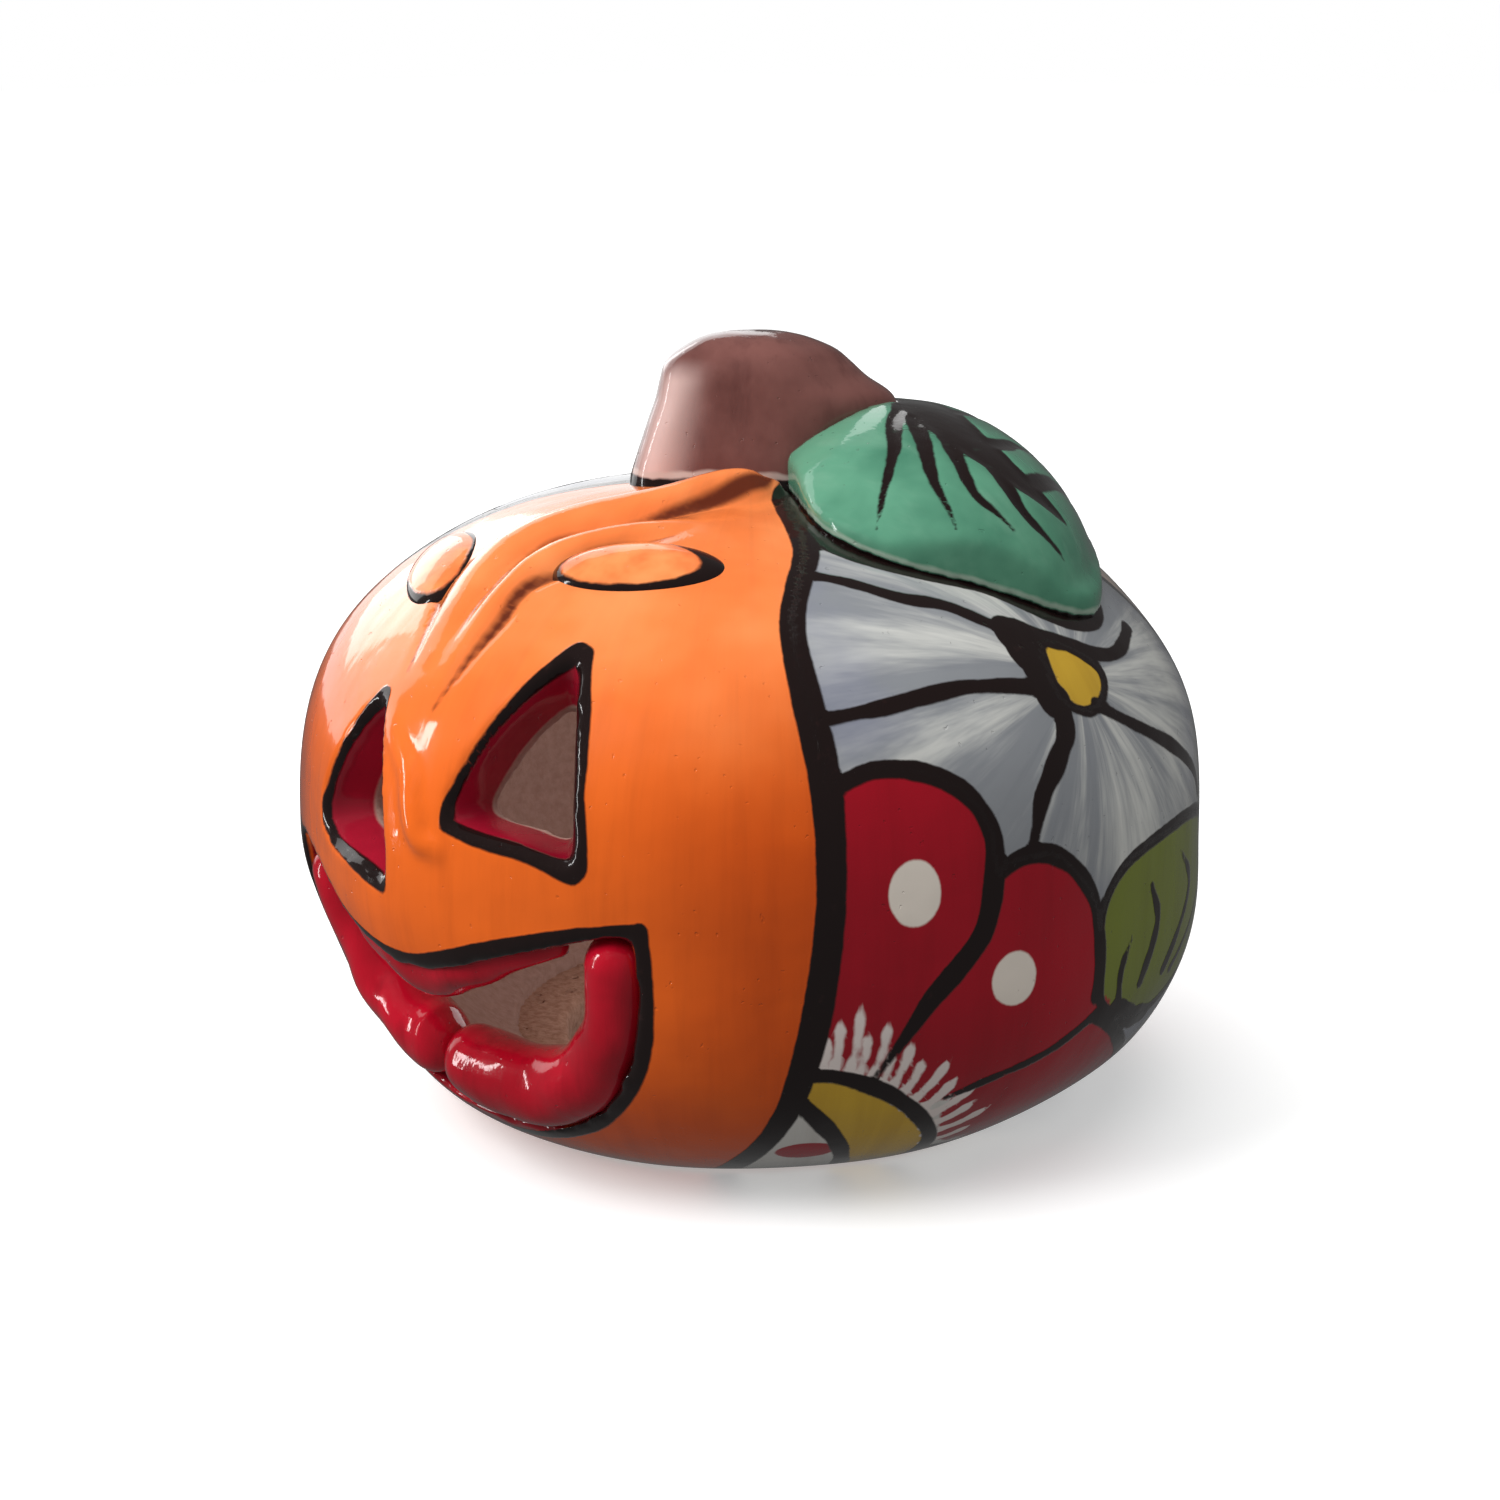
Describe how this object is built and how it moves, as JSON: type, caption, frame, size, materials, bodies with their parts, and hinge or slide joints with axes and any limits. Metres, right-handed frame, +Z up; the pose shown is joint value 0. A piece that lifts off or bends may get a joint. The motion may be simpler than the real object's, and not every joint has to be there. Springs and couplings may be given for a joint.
{
  "type": "ceramic pumpkin figure",
  "caption": "Hollow hand-built ceramic pumpkin with a carved grinning face, rolled lips, brow pads, a stub stem and a domed leaf, open underneath.",
  "frame": {"origin": "centre of the underside, on the surface that the figure stands on", "axes": "+Z up; the carved face looks along -Y; +X is the figure's left"},
  "size_m": [0.141, 0.141, 0.1184],
  "materials": {
    "orange_glaze": "hand-painted orange under clear gloss glaze, with black outlines",
    "painted_glaze": "hand-painted flowers and leaves under clear gloss glaze",
    "red_glaze": "deep red under clear gloss glaze",
    "brown_glaze": "brown under clear gloss glaze",
    "green_glaze": "green with black veins under clear gloss glaze",
    "bare_clay": "unglazed fired clay, wiped at the foot"
  },
  "bodies": {
    "root": {"front_shell": "orange_glaze", "rear_shell": "painted_glaze", "base_slab": "bare_clay", "lip_left": "red_glaze", "lip_right": "red_glaze", "upper_lip": "red_glaze", "stem": "brown_glaze", "leaf": "green_glaze", "forehead_fold_upper": "orange_glaze", "forehead_fold_lower": "orange_glaze", "brow_left": "orange_glaze", "brow_right": "orange_glaze"}
  },
  "joints": []
}
